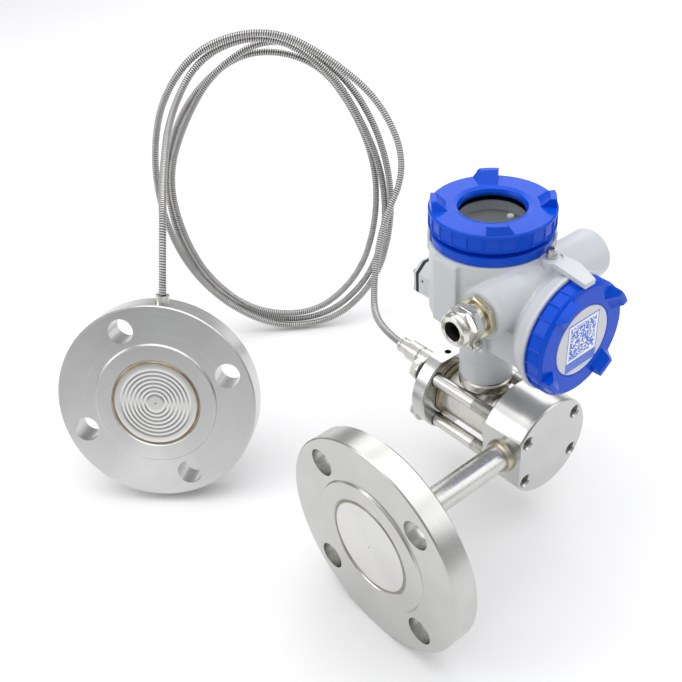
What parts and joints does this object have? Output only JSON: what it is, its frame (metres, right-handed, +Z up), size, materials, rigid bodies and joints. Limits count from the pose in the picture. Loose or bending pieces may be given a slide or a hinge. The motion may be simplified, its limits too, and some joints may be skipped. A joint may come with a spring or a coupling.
{
  "type": "remote seal level transmitter",
  "caption": "Differential pressure level transmitter with one direct flanged seal and one remote flanged seal on a coiled ridged hose",
  "frame": {"origin": "centre of the raised face of the direct flange, where the instrument is bolted to a vessel", "axes": "+X leaves that face toward the vessel, +Y is the sensor axis toward the front process flange, +Z is up along the neck; the floor the loose end lies on is z = -0.0762"},
  "size_m": [0.3503, 0.4697, 0.2926],
  "materials": {
    "stainless_machined": "turned and brushed stainless steel",
    "stainless_fine": "fine stainless foil, corrugated",
    "stainless_hose": "ridged stainless hose",
    "weld_tint": "straw heat tint beside welds",
    "bolt_steel": "stainless fasteners",
    "housing_paint": "satin light grey powder coat",
    "cover_paint": "gloss blue powder coat",
    "nickel": "nickel plated brass",
    "black_rubber": "black elastomer",
    "window": "clear flat window",
    "ring_metal": "bare aluminium",
    "module_plastic": "grey moulding",
    "lcd": "unlit display",
    "white_plastic": "white plugs",
    "board": "circuit board",
    "label": "printed disc",
    "black_steel": "black oxide screw"
  },
  "bodies": {
    "base": {"direct_seal_flange": "stainless_machined", "direct_diaphragm": "stainless_fine", "extension_tube": "stainless_machined", "tube_weld_collar": "weld_tint", "flange_weld_bead": "weld_tint", "front_process_flange": "stainless_machined", "rear_process_flange": "stainless_machined", "sensor_capsule": "stainless_machined", "sensor_cell": "ring_metal", "isolating_diaphragm_front": "stainless_fine", "isolating_diaphragm_rear": "stainless_fine", "capsule_ring_front": "stainless_machined", "capsule_weld_front": "weld_tint", "capsule_weld_rear": "weld_tint", "flange_bolts": "bolt_steel", "flange_bolt_washers": "bolt_steel", "capillary_fitting": "stainless_machined", "capillary_ferrule": "stainless_machined", "capillary_lead": "stainless_hose", "capillary_coil": "stainless_hose", "capillary_tail": "stainless_hose", "remote_seal_flange": "stainless_machined", "remote_diaphragm": "stainless_fine", "remote_spigot": "stainless_machined", "neck_ring": "stainless_machined"},
    "housing": {"housing_casting": "housing_paint", "side_port_gasket": "black_rubber", "side_port_plate": "housing_paint", "side_port_screws": "black_steel", "cover_lock_screw": "bolt_steel", "ground_washer": "bolt_steel", "ground_screw": "bolt_steel", "electronics_can": "module_plastic", "electronics_board": "board", "display_module": "module_plastic", "display_panel": "lcd", "display_fixing_caps": "white_plastic", "terminal_block": "module_plastic", "terminal_screws": "bolt_steel", "terminal_block_screws": "bolt_steel", "gland_locknut": "nickel", "gland_body": "nickel", "blind_plug": "nickel"},
    "display_seal": {"display_cover_seal": "black_rubber"},
    "display_cover": {"display_cover": "cover_paint", "window_gasket": "black_rubber", "window_glass": "window", "window_ring": "ring_metal"},
    "terminal_seal": {"terminal_cover_seal": "black_rubber"},
    "terminal_cover": {"terminal_cover": "cover_paint", "label_disc": "label"},
    "gland_seal": {"gland_seal": "black_rubber"},
    "gland_nut": {"gland_nut": "nickel"}
  },
  "joints": [
    {"name": "housing_turn", "type": "hinge", "parent": "base", "child": "housing", "pos_m": [-0.1526, -0.0449, 0.04], "axis": [0, 0, 1], "range_deg": [-175, 175]},
    {"name": "display_seal_rise", "type": "slide", "parent": "housing", "child": "display_seal", "axis": [0, 0, 1], "range_m": [0, 0.0101]},
    {"name": "display_cover_unscrew", "type": "hinge", "parent": "display_seal", "child": "display_cover", "pos_m": [-0.1526, -0.0449, 0.15], "axis": [0, 0, 1], "range_deg": [0, 1800]},
    {"name": "terminal_seal_travel", "type": "slide", "parent": "housing", "child": "terminal_seal", "axis": [0, 1, 0], "range_m": [0, 0.0101]},
    {"name": "terminal_cover_unscrew", "type": "hinge", "parent": "terminal_seal", "child": "terminal_cover", "pos_m": [-0.1526, 0.025, 0.0997], "axis": [0, 1, 0], "range_deg": [0, 1800]},
    {"name": "gland_seal_travel", "type": "slide", "parent": "housing", "child": "gland_seal", "axis": [1, 0, 0], "range_m": [0, 0.0031]},
    {"name": "gland_nut_unscrew", "type": "hinge", "parent": "gland_seal", "child": "gland_nut", "pos_m": [-0.095, -0.0175, 0.112], "axis": [1, 0, 0], "range_deg": [0, 720]}
  ],
  "couplings": [
    {"joint": "display_seal_rise", "follows": "display_cover_unscrew", "m_per_rad": 0.00031831},
    {"joint": "terminal_seal_travel", "follows": "terminal_cover_unscrew", "m_per_rad": 0.00031831},
    {"joint": "gland_seal_travel", "follows": "gland_nut_unscrew", "m_per_rad": 0.00023873}
  ]
}
